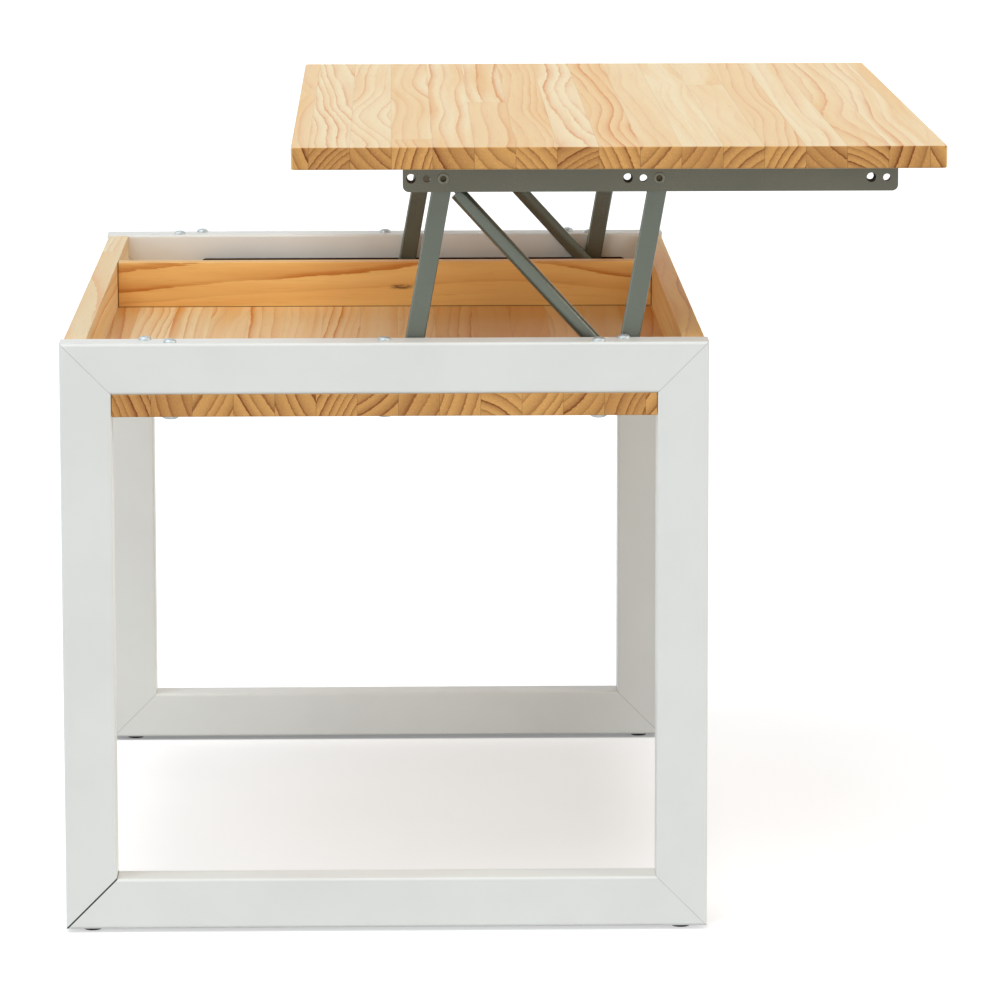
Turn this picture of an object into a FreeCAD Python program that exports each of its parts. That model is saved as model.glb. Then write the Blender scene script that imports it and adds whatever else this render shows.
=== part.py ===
import FreeCAD, Part
import math
import os
import re
import Sketcher

# Lift-top table: two mitred tube frames carry a pine tray, and a pine top rides on two
# parallelogram linkages that swing it up and forward over the edge of the tray.
# +X is the side that the sitter faces, +Y runs along the table and +Z is up. The origin is
# on the floor, in the middle of the box around the table with its top raised.
# Every size is in millimetres, apart from raised_lean, which is in degrees.

SIZES = {
    "frame_width": 630,
    "frame_height": 580,
    "table_length": 1000,
    "tube_face": 50,
    "tube_depth": 40,
    "tube_wall": 2,
    "tube_corner": 3,
    "glide_diameter": 18,
    "glide_height": 4,
    "glide_stem": 8,
    "glide_stem_length": 8,
    "board_thick": 22,
    "board_edge": 1,
    "top_overhang": 2,
    "top_corner": 6,
    "top_edge": 1.5,
    "side_inset": 2,
    "floor_inset": 1,
    "wall_drop": 1,
    "fit_gap": 0.5,
    "divider_place": 695,
    "rest_gap": 4.2,
    "rail_height": 26,
    "rail_width": 20,
    "rail_wall": 2,
    "rail_corner": 6,
    "base_rail_trim": 2.6,
    "rail_bend": 2.5,
    "rail_front_gap": 42,
    "rail_rear_gap": 106,
    "rail_standoff": 1.5,
    "pivot_end": 39.5,
    "pivot_spread": 17,
    "hole_end": 8,
    "hole_middle_gap": 30.5,
    "hole_far_gap": 26,
    "hole_pitch": 15,
    "hole_wide": 9.3,
    "hole_narrow": 7.2,
    "raised_lean": 10.2,
    "link_width": 19,
    "link_thick": 5,
    "link_edge": 1.8,
    "side_play": 0.5,
    "rivet_shank": 8,
    "rivet_bore": 6,
    "rivet_head": 11.4,
    "rivet_rim": 1,
    "rivet_core": 9,
    "pin_play": 0.05,
    "strut_width": 15,
    "strut_round": 4.5,
    "strut_edge": 1.2,
    "sleeve_clear": 20,
    "sleeve_lip": 2,
    "sleeve_foot": 14,
    "sleeve_bore_wide": 11,
    "sleeve_bore_deep": 6.9,
    "mouth_play": 2.2,
    "rod_clear": 31,
    "rod_diameter": 4,
    "rod_washer": 6.4,
    "rod_washer_thick": 2,
    "spring_play": 0.3,
    "spring_wire": 0.8,
    "bolt_shank": 6,
    "bolt_head": 12.6,
    "bolt_head_height": 3.9,
    "bolt_dome": 3.7,
    "bolt_grip": 14,
    "bolt_outer_gap": 82,
    "bolt_inner_gap": 107,
    "bolt_stagger": 10,
    "nut_barrel": 10,
    "nut_length": 16,
    "nut_head": 16,
    "nut_head_height": 3.2,
    "nut_dome": 3,
    "screw_shank": 4.4,
    "screw_head": 8.6,
    "screw_head_height": 2.4,
    "screw_length": 17,
    "screw_play": 0.1,
    "rail_screw_first": 100,
    "rail_screw_last": 112,
    "tray_screw_length": 42,
    "tray_screw_end": 100,
    "tray_screw_inner": 140,
    "divider_screw_reach": 180,
}

doc = FreeCAD.newDocument("lift_top_table")
sheet = doc.addObject("Spreadsheet::Sheet", "Sizes")
for row, (alias, size) in enumerate(SIZES.items(), 1):
    sheet.set(f"A{row}", alias)
    sheet.set(f"B{row}", str(size))
    sheet.setAlias(f"B{row}", alias)
doc.recompute()

# Places and lengths worked out from the driving sizes, as formulas on the sheet.
FRAME_TOP = "(glide_height + frame_height)"
FLOOR_TOP = f"({FRAME_TOP} - tube_face)"
WALL_HEIGHT = "(tube_face - wall_drop)"
SIDE_X = "(frame_width / 2 - side_inset - board_thick / 2)"
DIVIDER_Y = "(divider_place - table_length / 2 + board_thick / 2)"
FRAME_Y = "(table_length / 2 - tube_depth / 2)"
GLIDE_X = "(frame_width / 2 - tube_face / 2)"
BOLT_OUTER = "(frame_width / 2 - bolt_outer_gap)"
BOLT_INNER = "(frame_width / 2 - bolt_inner_gap)"
TRAY_SCREW_REACH = "(table_length / 2 - tray_screw_end)"

# The linkage: the same rail lies on the tray floor and hangs under the top, turned over.
RAIL_LENGTH = "(frame_width - rail_front_gap - rail_rear_gap)"
RAIL_FRONT = "(frame_width / 2 - rail_front_gap)"
PIVOT_SPACING = f"(({RAIL_LENGTH} - 2 * pivot_end + pivot_spread) / 2)"
CLOSED_RUN = f"({RAIL_LENGTH} - {PIVOT_SPACING} - 2 * pivot_end)"
CLOSED_RISE = "(tube_face + rest_gap - rail_height)"
LINK_LENGTH = f"sqrt({CLOSED_RUN} ^ 2 + {CLOSED_RISE} ^ 2)"
LIFT_RUN = f"({LINK_LENGTH} * sin(raised_lean))"
LIFT_RISE = f"({LINK_LENGTH} * cos(raised_lean))"
TOP_SHIFT = f"({CLOSED_RUN} + {LIFT_RUN})"
BASE_X = f"(-({TOP_SHIFT} + top_overhang) / 2)"
TOP_X = f"({BASE_X} + {TOP_SHIFT})"
FRONT_PIVOT_X = f"({BASE_X} + {RAIL_FRONT} - pivot_end)"
REAR_PIVOT_X = f"({FRONT_PIVOT_X} - {PIVOT_SPACING})"
BASE_PIVOT_Z = f"({FLOOR_TOP} + rail_height / 2)"
TOP_PIVOT_Z = f"({BASE_PIVOT_Z} + {LIFT_RISE})"
TOP_UNDERSIDE = f"({TOP_PIVOT_Z} + rail_height / 2)"
RAIL_Y = "(table_length / 2 - tube_depth - rail_standoff - rail_width / 2)"
LINK_OFFSET = "(rail_width / 2 - rail_wall - side_play - link_thick / 2)"
STRUT_DEPTH = "(rail_width - 2 * rail_wall - 3 * side_play - link_thick)"
STRUT_OFFSET = f"(rail_width / 2 - rail_wall - side_play - {STRUT_DEPTH} / 2)"
STRUT_RUN = f"({PIVOT_SPACING} - {LIFT_RUN})"
STRUT_LENGTH = f"sqrt({STRUT_RUN} ^ 2 + {LIFT_RISE} ^ 2)"
STRUT_SLOPE = f"(atan2({LIFT_RISE}; {STRUT_RUN}) / 1 deg)"
SLEEVE_LENGTH = f"({STRUT_LENGTH} - sleeve_clear)"
ROD_LENGTH = f"({STRUT_LENGTH} - rod_clear)"
HOLE_MIDDLE = f"(pivot_end + {PIVOT_SPACING} - hole_middle_gap)"
HOLE_FAR = f"({RAIL_LENGTH} - hole_far_gap)"
SCREW_COUNT = 4
RAIL_SCREW_PITCH = f"(({RAIL_LENGTH} - rail_screw_first - rail_screw_last) / {SCREW_COUNT - 1})"
PIN_HOLE = "(rivet_shank + 2 * pin_play)"

# How far an edge may stray, in millimetres, and still count as lying on a line or plane.
EDGE_STRAY = 0.001

# The two ends of the table, and which way is outward there along Y.
ENDS = {"near": -1, "far": 1}


def on_sheet(formula):
    """The formula with each size named as a cell of the sheet."""
    return re.sub(r"\b[a-z]+(?:_[a-z]+)+\b", lambda found: "Sizes." + found.group(0), str(formula))


def value(formula):
    """The formula's number at the sheet's present sizes."""
    result = sheet.evalExpression(on_sheet(formula))
    return float(getattr(result, "Value", result))


def bind(thing, name, formula):
    thing.setExpression(name, on_sheet(formula))


def place(thing, x=0, y=0, z=0, turn=None):
    """Binds where a piece stands, and its turn about the Y axis in degrees."""
    for letter, formula in zip("xyz", (x, y, z)):
        bind(thing, f"Placement.Base.{letter}", formula)
    if turn is not None:
        thing.Placement.Rotation = FreeCAD.Rotation(FreeCAD.Vector(0, 1, 0), value(turn))
        bind(thing, "Placement.Rotation.Angle", turn)


def new_body(label):
    body = doc.addObject("PartDesign::Body", label)
    body.Label = label
    return body


def new_sketch(body, plane, lift=None):
    """A sketch on one of the body's origin planes, or lifted off it along its normal."""
    sketch = body.newObject("Sketcher::SketchObject", body.Name + "_sketch")
    support = [feature for feature in body.Origin.OriginFeatures if feature.Role == plane + "_Plane"]
    sketch.AttachmentSupport = [(support[0], "")]
    sketch.MapMode = "FlatFace"
    if lift is not None:
        bind(sketch, "AttachmentOffset.Base.z", lift)
    return sketch


def fix_point(sketch, geometry, point, x, y):
    """Holds a point of the sketch at formulas for its two coordinates."""
    for kind, formula in (("DistanceX", x), ("DistanceY", y)):
        index = sketch.addConstraint(Sketcher.Constraint(kind, -1, 1, geometry, point, value(formula)))
        bind(sketch, f"Constraints[{index}]", formula)


def draw_outline(sketch, corners):
    """A closed outline of straight lines through corners given as formulas."""
    points = [FreeCAD.Vector(value(x), value(y), 0) for x, y in corners]
    count = len(points)
    first = sketch.GeometryCount
    for index in range(count):
        sketch.addGeometry(Part.LineSegment(points[index], points[(index + 1) % count]))
    for index in range(count):
        following = first + (index + 1) % count
        sketch.addConstraint(Sketcher.Constraint("Coincident", first + index, 2, following, 1))
    for index, (x, y) in enumerate(corners):
        fix_point(sketch, first + index, 1, x, y)


def draw_rectangle(sketch, width, height):
    """A rectangle about the sketch's origin."""
    right = f"({width}) / 2"
    top = f"({height}) / 2"
    left = f"-({right})"
    bottom = f"-({top})"
    draw_outline(sketch, [(left, bottom), (right, bottom), (right, top), (left, top)])


def draw_circle(sketch, diameter, x=0, y=0):
    centre = FreeCAD.Vector(value(x), value(y), 0)
    circle = sketch.addGeometry(Part.Circle(centre, FreeCAD.Vector(0, 0, 1), value(diameter) / 2))
    fix_point(sketch, circle, 3, x, y)
    index = sketch.addConstraint(Sketcher.Constraint("Diameter", circle, value(diameter)))
    bind(sketch, f"Constraints[{index}]", diameter)


def extrude(body, kind, sketch, length=None, side="Symmetric", backwards=False):
    """A pad or pocket from the sketch, through everything where no length is given."""
    before = body.Shape.Volume if body.Tip else 0
    feature = body.newObject("PartDesign::" + kind, body.Name + "_" + kind.lower())
    feature.Profile = sketch
    feature.SideType = side
    feature.Reversed = backwards
    if length is None:
        feature.Type = "ThroughAll"
    else:
        bind(feature, "Length", length)
    doc.recompute()
    if kind == "Pocket" and not body.Shape.Volume < before:
        raise RuntimeError(f"{feature.Label} cuts nothing")
    return feature


def round_edges(body, radius, chosen):
    """Rounds the edges of the body that the given test picks out."""
    base = body.Tip
    names = [f"Edge{number}" for number, edge in enumerate(base.Shape.Edges, 1) if chosen(edge)]
    fillet = body.newObject("PartDesign::Fillet", body.Name + "_round")
    fillet.Base = (base, names)
    bind(fillet, "Radius", radius)
    doc.recompute()


def runs_along(edge, letter):
    """True for a straight edge parallel to the axis with this letter."""
    spans = {"x": edge.BoundBox.XLength, "y": edge.BoundBox.YLength, "z": edge.BoundBox.ZLength}
    across = [span for name, span in spans.items() if name != letter]
    return edge.Curve.TypeId == "Part::GeomLine" and max(across) < EDGE_STRAY < spans[letter]


def lies_at(edge, letter, height):
    """True for an edge that lies in the plane where this coordinate has this value."""
    box = edge.BoundBox
    low = getattr(box, letter.upper() + "Min")
    high = getattr(box, letter.upper() + "Max")
    return abs(low - height) < EDGE_STRAY and abs(high - height) < EDGE_STRAY


def group(label, pattern, places):
    """One node of like pieces: the pattern's solid at each place."""
    pieces = []
    for x, y, z in places:
        piece = pattern.Shape.copy()
        piece.translate(FreeCAD.Vector(value(x), value(y), value(z)))
        pieces.append(piece)
    node = doc.addObject("Part::Feature", label)
    node.Label = label
    node.Shape = Part.makeCompound(pieces)
    return node


nodes = []


# The frames: each is four rectangular tubes, mitred at the corners.
def draw_mitred(sketch, inner, outer, half):
    """The face of a mitred tube: its short side low and its long side high."""
    corners = [(f"-{inner}", f"-{half}"), (inner, f"-{half}")]
    corners += [(outer, half), (f"-{outer}", half)]
    draw_outline(sketch, corners)


def frame_member(label, span):
    """A mitred tube along X, its long outer side up, centred on its own section."""
    body = new_body(label)
    face = new_sketch(body, "XZ")
    draw_mitred(face, f"(({span}) / 2 - tube_face)", f"({span}) / 2", "tube_face / 2")
    extrude(body, "Pad", face, "tube_depth")
    round_edges(body, "tube_corner", lambda edge: runs_along(edge, "x"))
    hollow = new_sketch(body, "XZ")
    inner = f"(({span}) / 2 - tube_face + tube_wall)"
    draw_mitred(hollow, inner, f"(({span}) / 2 - tube_wall)", "(tube_face / 2 - tube_wall)")
    extrude(body, "Pocket", hollow, "tube_depth - 2 * tube_wall")
    nodes.append(body)
    return body


def bolt_spots(outward):
    """Where the five bolts of one frame stand from the middle of its top rail."""
    spots = [("0", "0")]
    for side in ("", "-"):
        spots.append((f"{side}{BOLT_OUTER}", f"{-outward} * bolt_stagger"))
        spots.append((f"{side}{BOLT_INNER}", f"{outward} * bolt_stagger"))
    return spots


for end, outward in ENDS.items():
    frame_y = f"{outward} * {FRAME_Y}"
    top_rail = frame_member(f"{end}_frame_top_rail", "frame_width")
    drilled = new_sketch(top_rail, "XY")
    for x, y in bolt_spots(outward):
        draw_circle(drilled, "bolt_shank + 2 * screw_play", x, y)
    extrude(top_rail, "Pocket", drilled)
    place(top_rail, BASE_X, frame_y, f"{FRAME_TOP} - tube_face / 2")

    foot_rail = frame_member(f"{end}_frame_foot_rail", "frame_width")
    drilled = new_sketch(foot_rail, "XY")
    for side in ("", "-"):
        draw_circle(drilled, "glide_stem + 2 * screw_play", f"{side}{GLIDE_X}")
    extrude(foot_rail, "Pocket", drilled)
    place(foot_rail, BASE_X, frame_y, "glide_height + tube_face / 2", turn="180")

    for side, sign in (("rear", -1), ("front", 1)):
        leg = frame_member(f"{end}_frame_{side}_leg", "frame_height")
        leg_x = f"{BASE_X} + {sign} * {GLIDE_X}"
        place(leg, leg_x, frame_y, "glide_height + frame_height / 2", turn=90 * sign)


# The tray: a floor notched round the legs, two side boards and a divider standing on it.
floor = new_body("tray_floor")
wide = "(frame_width / 2 - side_inset)"
narrow = "(frame_width / 2 - tube_face - fit_gap)"
long = "(table_length / 2 - floor_inset)"
short = "(table_length / 2 - tube_depth - fit_gap)"
quarter = [(narrow, long), (narrow, short), (wide, short)]
corners = [(x, y) for x, y in quarter]
corners += [(x, f"-{y}") for x, y in reversed(quarter)]
corners += [(f"-{x}", f"-{y}") for x, y in quarter]
corners += [(f"-{x}", y) for x, y in reversed(quarter)]
plan = new_sketch(floor, "XY")
draw_outline(plan, corners)
extrude(floor, "Pad", plan, "board_thick", side="One side")
round_edges(floor, "board_edge", lambda edge: not runs_along(edge, "z"))

BOLT_PLACES = []
RAIL_SCREW_X = [f"rail_screw_first + {index} * {RAIL_SCREW_PITCH}" for index in range(SCREW_COUNT)]
BASE_SCREWS = []
TOP_SCREWS = []
for outward in ENDS.values():
    for x, y in bolt_spots(outward):
        BOLT_PLACES.append((x, f"{outward} * {FRAME_Y} + {y}"))
    for along in RAIL_SCREW_X:
        BASE_SCREWS.append((f"{RAIL_FRONT} - ({along})", f"{outward} * {RAIL_Y}"))
        TOP_SCREWS.append((f"{RAIL_FRONT} - {RAIL_LENGTH} + {along}", f"{outward} * {RAIL_Y}"))
SIDE_SCREWS = []
for side in ("", "-"):
    for reach in (TRAY_SCREW_REACH, "tray_screw_inner"):
        SIDE_SCREWS.append((f"{side}{SIDE_X}", reach))
        SIDE_SCREWS.append((f"{side}{SIDE_X}", f"-{reach}"))
DIVIDER_SCREWS = [(f"{step} * divider_screw_reach", DIVIDER_Y) for step in (-1, 0, 1)]

sockets = new_sketch(floor, "XY", lift="nut_length + fit_gap")
for x, y in BOLT_PLACES:
    draw_circle(sockets, "nut_barrel + 2 * screw_play", x, y)
extrude(floor, "Pocket", sockets, side="One side")
bolt_ways = new_sketch(floor, "XY")
for x, y in BOLT_PLACES:
    draw_circle(bolt_ways, "bolt_shank + 2 * screw_play", x, y)
extrude(floor, "Pocket", bolt_ways)
pilots = new_sketch(floor, "XY", lift="board_thick")
for x, y in BASE_SCREWS:
    draw_circle(pilots, "screw_shank + 2 * screw_play", x, y)
extrude(floor, "Pocket", pilots, "screw_length - rail_wall + fit_gap", side="One side")
passes = new_sketch(floor, "XY")
for x, y in SIDE_SCREWS + DIVIDER_SCREWS:
    draw_circle(passes, "screw_shank + 2 * screw_play", x, y)
extrude(floor, "Pocket", passes)
heads = new_sketch(floor, "XY", lift="screw_head_height + fit_gap")
for x, y in SIDE_SCREWS + DIVIDER_SCREWS:
    draw_circle(heads, "screw_head + 2 * screw_play", x, y)
extrude(floor, "Pocket", heads, side="One side")
place(floor, BASE_X, 0, f"{FLOOR_TOP} - board_thick")
nodes.append(floor)


def wall(label, width, length, screws):
    """A board that stands on the tray floor, with pilot holes in its lower edge."""
    body = new_body(label)
    plan = new_sketch(body, "XY")
    draw_rectangle(plan, width, length)
    extrude(body, "Pad", plan, WALL_HEIGHT, side="One side")
    top = value(WALL_HEIGHT)
    round_edges(body, "board_edge", lambda edge: lies_at(edge, "z", top))
    pilots = new_sketch(body, "XY")
    for x, y in screws:
        draw_circle(pilots, "screw_shank + 2 * screw_play", x, y)
    depth = "tray_screw_length + screw_head_height + 2 * fit_gap - board_thick"
    extrude(body, "Pocket", pilots, depth, side="One side", backwards=True)
    nodes.append(body)
    return body


SIDE_LENGTH = "table_length - 2 * tube_depth - fit_gap"
for side, sign in (("rear", -1), ("front", 1)):
    reaches = (TRAY_SCREW_REACH, f"-{TRAY_SCREW_REACH}", "tray_screw_inner", "-tray_screw_inner")
    board = wall(f"{side}_side_board", "board_thick", SIDE_LENGTH, [("0", reach) for reach in reaches])
    place(board, f"{BASE_X} + {sign} * {SIDE_X}", 0, FLOOR_TOP)
DIVIDER_WIDTH = f"2 * {SIDE_X} - board_thick - fit_gap"
spots = [(x, "0") for x, y in DIVIDER_SCREWS]
divider = wall("tray_divider", DIVIDER_WIDTH, "board_thick", spots)
place(divider, BASE_X, DIVIDER_Y, FLOOR_TOP)


# The top: one glued pine panel with eased edges, drilled from below for the rail screws.
top = new_body("table_top")
plan = new_sketch(top, "XY")
draw_rectangle(plan, "frame_width + 2 * top_overhang", "table_length + 2 * top_overhang")
extrude(top, "Pad", plan, "board_thick", side="One side")
round_edges(top, "top_corner", lambda edge: runs_along(edge, "z"))
upper = value("board_thick")
round_edges(top, "top_edge", lambda edge: lies_at(edge, "z", 0) or lies_at(edge, "z", upper))
pilots = new_sketch(top, "XY")
for x, y in TOP_SCREWS:
    draw_circle(pilots, "screw_shank + 2 * screw_play", x, y)
extrude(top, "Pocket", pilots, "screw_length - rail_wall + fit_gap", side="One side", backwards=True)
place(top, TOP_X, 0, TOP_UNDERSIDE)
nodes.append(top)


# The rails: folded channels with two pivot holes and pairs of spare fixing holes.
def rail(label, outward, lip="rail_height / 2"):
    """A channel along X from its short end, open downward, its pivots on the X axis."""
    body = new_body(label)
    section = new_sketch(body, "YZ")
    out = "rail_width / 2"
    inside = "(rail_width / 2 - rail_wall)"
    back = "rail_height / 2"
    roof = "(rail_height / 2 - rail_wall)"
    corners = [(f"-{out}", f"-({lip})"), (f"-{inside}", f"-({lip})"), (f"-{inside}", roof)]
    corners += [(inside, roof), (inside, f"-({lip})"), (out, f"-({lip})"), (out, back), (f"-{out}", back)]
    draw_outline(section, corners)
    extrude(body, "Pad", section, RAIL_LENGTH, side="One side")
    lower = -value(lip)
    round_edges(body, "rail_corner", lambda edge: runs_along(edge, "y") and lies_at(edge, "z", lower))
    upper = value(back)
    round_edges(body, "rail_bend", lambda edge: runs_along(edge, "x") and lies_at(edge, "z", upper))
    pivots = new_sketch(body, "XZ")
    for along in ("pivot_end", f"pivot_end + {PIVOT_SPACING}"):
        draw_circle(pivots, "rivet_shank + 2 * screw_play", along)
    extrude(body, "Pocket", pivots)
    for side in (-1, 1):
        first, second = ("hole_wide", "hole_narrow") if side == outward else ("hole_narrow", "hole_wide")
        fixings = new_sketch(body, "XZ")
        for along in ("hole_end", HOLE_MIDDLE, HOLE_FAR):
            draw_circle(fixings, first, along)
            draw_circle(fixings, second, f"{along} + hole_pitch")
        extrude(body, "Pocket", fixings, side="One side", backwards=side < 0)
    screws = new_sketch(body, "XY")
    for along in RAIL_SCREW_X:
        draw_circle(screws, "screw_shank + 2 * screw_play", along)
    extrude(body, "Pocket", screws)
    nodes.append(body)
    return body


# The links: flat bars with round ends, two at each end of the table.
def link(label):
    """A bar from its lower pivot, at the origin, up to its upper pivot on the X axis."""
    body = new_body(label)
    face = new_sketch(body, "XZ")
    end = "link_width / 2"
    corners = [(f"-{end}", f"-{end}"), (f"{LINK_LENGTH} + {end}", f"-{end}")]
    corners += [(f"{LINK_LENGTH} + {end}", end), (f"-{end}", end)]
    draw_outline(face, corners)
    extrude(body, "Pad", face, "link_thick")
    round_edges(body, "link_width / 2 - pin_play", lambda edge: runs_along(edge, "y"))
    round_edges(body, "link_edge", lambda edge: not runs_along(edge, "y"))
    pivots = new_sketch(body, "XZ")
    for along in ("0", LINK_LENGTH):
        draw_circle(pivots, PIN_HOLE, along)
    extrude(body, "Pocket", pivots)
    nodes.append(body)
    return body


# The struts: a spring pulls a rod into a sleeve, which helps to lift the top.
def draw_slot(sketch, wide_span, deep_span):
    """A round-ended slot, its long way across the strut, on a sketch across the strut."""
    radius = f"({deep_span}) / 2"
    reach = f"(({wide_span}) / 2 - {radius})"
    half = value(radius)
    top = value(reach)
    up = FreeCAD.Vector(0, 0, 1)
    sketch.addGeometry(Part.LineSegment(FreeCAD.Vector(half, -top, 0), FreeCAD.Vector(half, top, 0)))
    upper = Part.Circle(FreeCAD.Vector(0, top, 0), up, half)
    sketch.addGeometry(Part.ArcOfCircle(upper, 0, math.pi))
    sketch.addGeometry(Part.LineSegment(FreeCAD.Vector(-half, top, 0), FreeCAD.Vector(-half, -top, 0)))
    lower = Part.Circle(FreeCAD.Vector(0, -top, 0), up, half)
    sketch.addGeometry(Part.ArcOfCircle(lower, math.pi, 2 * math.pi))
    for index in range(4):
        sketch.addConstraint(Sketcher.Constraint("Tangent", index, 2, (index + 1) % 4, 1))
    fix_point(sketch, 1, 3, "0", reach)
    fix_point(sketch, 3, 3, "0", f"-{reach}")
    index = sketch.addConstraint(Sketcher.Constraint("Radius", 1, half))
    bind(sketch, f"Constraints[{index}]", radius)


def strut_sleeve(label, outward):
    """A tube from its foot pivot at the origin up along X, rounder on its outward face."""
    body = new_body(label)
    face = new_sketch(body, "XZ")
    half = "strut_width / 2"
    corners = [(f"-{half}", f"-{half}"), (SLEEVE_LENGTH, f"-{half}")]
    corners += [(SLEEVE_LENGTH, half), (f"-{half}", half)]
    draw_outline(face, corners)
    extrude(body, "Pad", face, STRUT_DEPTH)
    foot = -value(half)
    end_corner = "strut_width / 2 - pin_play"
    round_edges(body, end_corner, lambda edge: runs_along(edge, "y") and lies_at(edge, "x", foot))
    outside = outward * value(STRUT_DEPTH) / 2
    half_sleeve = value(SLEEVE_LENGTH) / 2

    def long_edge(edge, face_y):
        return runs_along(edge, "x") and edge.Length > half_sleeve and lies_at(edge, "y", face_y)

    round_edges(body, "strut_round", lambda edge: long_edge(edge, outside))
    round_edges(body, "strut_edge", lambda edge: long_edge(edge, -outside))
    bore = new_sketch(body, "YZ", lift=f"{SLEEVE_LENGTH} - sleeve_lip")
    draw_slot(bore, "sleeve_bore_wide", "sleeve_bore_deep")
    extrude(body, "Pocket", bore, f"{SLEEVE_LENGTH} - sleeve_lip - sleeve_foot", side="One side")
    mouth = new_sketch(body, "YZ", lift=SLEEVE_LENGTH)
    draw_slot(mouth, "rod_diameter + 2 * mouth_play", "rod_diameter + 2 * spring_play")
    extrude(body, "Pocket", mouth, "2 * sleeve_lip", side="One side")
    pivot = new_sketch(body, "XZ")
    draw_circle(pivot, PIN_HOLE)
    extrude(body, "Pocket", pivot)
    nodes.append(body)
    return body


def strut_rod(label):
    """A rod from its eye at the origin along X, with the washer that the spring bears on."""
    body = new_body(label)
    eye = new_sketch(body, "XZ")
    draw_circle(eye, "strut_width")
    extrude(body, "Pad", eye, STRUT_DEPTH)
    shaft = new_sketch(body, "YZ")
    draw_circle(shaft, "rod_diameter")
    extrude(body, "Pad", shaft, ROD_LENGTH, side="One side")
    washer = new_sketch(body, "YZ", lift=f"{ROD_LENGTH} - rod_washer_thick")
    draw_circle(washer, "rod_washer")
    extrude(body, "Pad", washer, "rod_washer_thick", side="One side")
    pivot = new_sketch(body, "XZ")
    draw_circle(pivot, PIN_HOLE)
    extrude(body, "Pocket", pivot)
    nodes.append(body)
    return body


def strut_spring(label):
    """The space of the spring round the rod, between its washer and the sleeve's mouth."""
    body = new_body(label)
    start = "(rod_clear + rod_washer_thick)"
    section = new_sketch(body, "YZ", lift=start)
    outer = "rod_diameter + 2 * spring_play + 2 * spring_wire"
    draw_circle(section, outer)
    draw_circle(section, "rod_diameter + 2 * spring_play")
    extrude(body, "Pad", section, f"{SLEEVE_LENGTH} - sleeve_lip - {start}", side="One side")
    nodes.append(body)
    return body


LINK_TURN = "raised_lean - 90"
for end, outward in ENDS.items():
    rail_y = f"{outward} * {RAIL_Y}"
    link_y = f"{rail_y} + {outward} * {LINK_OFFSET}"
    strut_y = f"{rail_y} - {outward} * {STRUT_OFFSET}"
    base_rail = rail(f"{end}_base_rail", outward, lip="rail_height / 2 - base_rail_trim")
    place(base_rail, f"{BASE_X} + {RAIL_FRONT}", rail_y, BASE_PIVOT_Z, turn="180")
    hung_rail = rail(f"{end}_top_rail", outward)
    place(hung_rail, f"{REAR_PIVOT_X} + {LIFT_RUN} - pivot_end", rail_y, TOP_PIVOT_Z)
    for side, pivot_x in (("rear", REAR_PIVOT_X), ("front", FRONT_PIVOT_X)):
        bar = link(f"{end}_{side}_link")
        place(bar, pivot_x, link_y, BASE_PIVOT_Z, turn=LINK_TURN)
    sleeve = strut_sleeve(f"{end}_strut_sleeve", outward)
    place(sleeve, FRONT_PIVOT_X, strut_y, BASE_PIVOT_Z, turn=f"180 + {STRUT_SLOPE}")
    spring = strut_spring(f"{end}_strut_spring")
    place(spring, FRONT_PIVOT_X, strut_y, BASE_PIVOT_Z, turn=f"180 + {STRUT_SLOPE}")
    rod = strut_rod(f"{end}_strut_rod")
    place(rod, f"{REAR_PIVOT_X} + {LIFT_RUN}", strut_y, TOP_PIVOT_Z, turn=STRUT_SLOPE)


# The fasteners and feet: one pattern of each, set at every place where the table has it.
def turned_pattern(label, steps):
    """A stack of coaxial discs and rings along Z: outer and inner diameter, from, to."""
    body = new_body(label)
    for outer, inner, low, high in steps:
        ring = new_sketch(body, "XY", lift=low)
        draw_circle(ring, outer)
        if inner:
            draw_circle(ring, inner)
        extrude(body, "Pad", ring, f"({high}) - ({low})", side="One side")
    return body


def round_rim(body, radius, height):
    level = value(height)
    round_edges(body, radius, lambda edge: lies_at(edge, "z", level))


rivet_end = "rail_width / 2 + rivet_rim"
rivet = turned_pattern("rivet_pattern", [
    ("rivet_head", "rivet_bore", f"-({rivet_end})", "-(rail_width / 2)"),
    ("rivet_shank", "rivet_bore", "-(rail_width / 2)", "-(rivet_core / 2)"),
    ("rivet_shank", None, "-(rivet_core / 2)", "rivet_core / 2"),
    ("rivet_shank", "rivet_bore", "rivet_core / 2", "rail_width / 2"),
    ("rivet_head", "rivet_bore", "rail_width / 2", rivet_end),
])
round_rim(rivet, "rivet_rim / 2", rivet_end)
round_rim(rivet, "rivet_rim / 2", f"-({rivet_end})")
rivet.Placement.Rotation = FreeCAD.Rotation(FreeCAD.Vector(1, 0, 0), 90)

bolt_length = "tube_face + bolt_grip"
bolt = turned_pattern("bolt_pattern", [
    ("bolt_shank", None, f"-({bolt_length})", "0"),
    ("bolt_head", None, "0", "bolt_head_height"),
])
round_rim(bolt, "bolt_dome", "bolt_head_height")

sleeve_nut = turned_pattern("sleeve_nut_pattern", [
    ("nut_barrel", "bolt_shank + 2 * screw_play", "0", "nut_length"),
    ("nut_head", None, "-nut_head_height", "0"),
])
round_rim(sleeve_nut, "nut_dome", "-nut_head_height")

rail_screw = turned_pattern("rail_screw_pattern", [
    ("screw_shank", None, "0", "screw_length"),
    ("screw_head", None, "-screw_head_height", "0"),
])
round_rim(rail_screw, "screw_head_height / 2", "-screw_head_height")

head_top = "screw_head_height + fit_gap"
tray_screw = turned_pattern("tray_screw_pattern", [
    ("screw_head", None, "fit_gap", head_top),
    ("screw_shank", None, head_top, f"{head_top} + tray_screw_length"),
])

glide = turned_pattern("glide_pattern", [
    ("glide_diameter", None, "0", "glide_height"),
    ("glide_stem", None, "glide_height", "glide_height + glide_stem_length"),
])
round_rim(glide, "tube_wall / 2", "0")
doc.recompute()

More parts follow.
